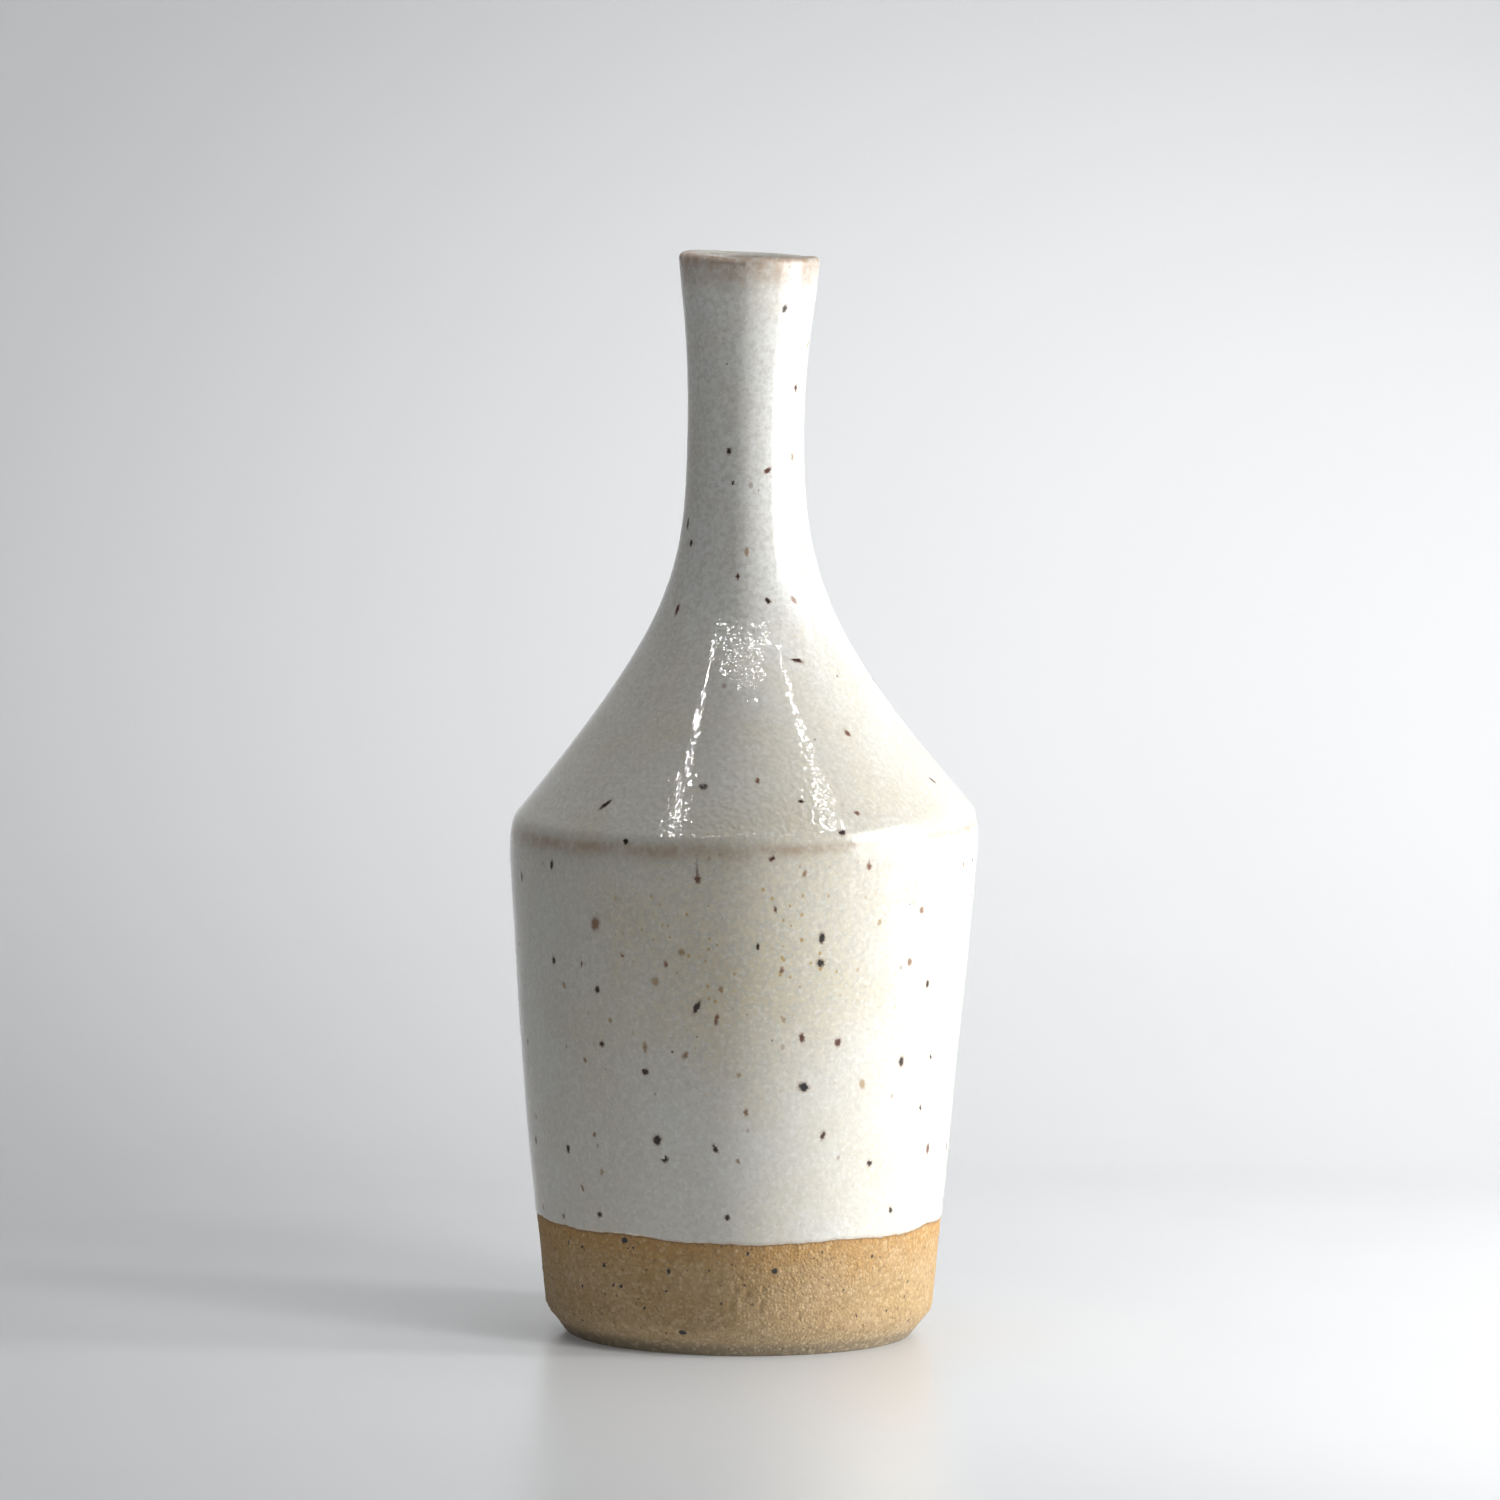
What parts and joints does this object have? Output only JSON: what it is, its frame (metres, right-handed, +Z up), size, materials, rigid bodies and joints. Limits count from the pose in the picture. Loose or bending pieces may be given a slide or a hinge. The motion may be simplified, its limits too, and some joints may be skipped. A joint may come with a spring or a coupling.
{
  "type": "stoneware bottle vase",
  "caption": "Thrown stoneware bottle vase: narrow flared neck, sloping shoulder, slightly tapering body, speckled off-white glaze over a bare bevelled foot.",
  "frame": {"origin": "centre of the flat ring that the vase stands on", "axes": "+Z up along the axis it was thrown on; the vase is turned about it, so +X and +Y are free, and +Y points away from the viewer of its front"},
  "size_m": [0.0866, 0.0866, 0.2],
  "materials": {
    "bare_stoneware": "unglazed buff stoneware with sandy grog and small dark iron specks, matt and rough",
    "speckled_glaze": "glossy off-white glaze with fine ripple, dark and rust-brown iron speckles, thin and brownish where it breaks over the lip and shoulder",
    "liner_glaze": "glossy off-white liner glaze with a few specks"
  },
  "bodies": {
    "root": {"clay_body": "bare_stoneware", "outer_glaze": "speckled_glaze", "inner_glaze": "liner_glaze"}
  },
  "joints": []
}
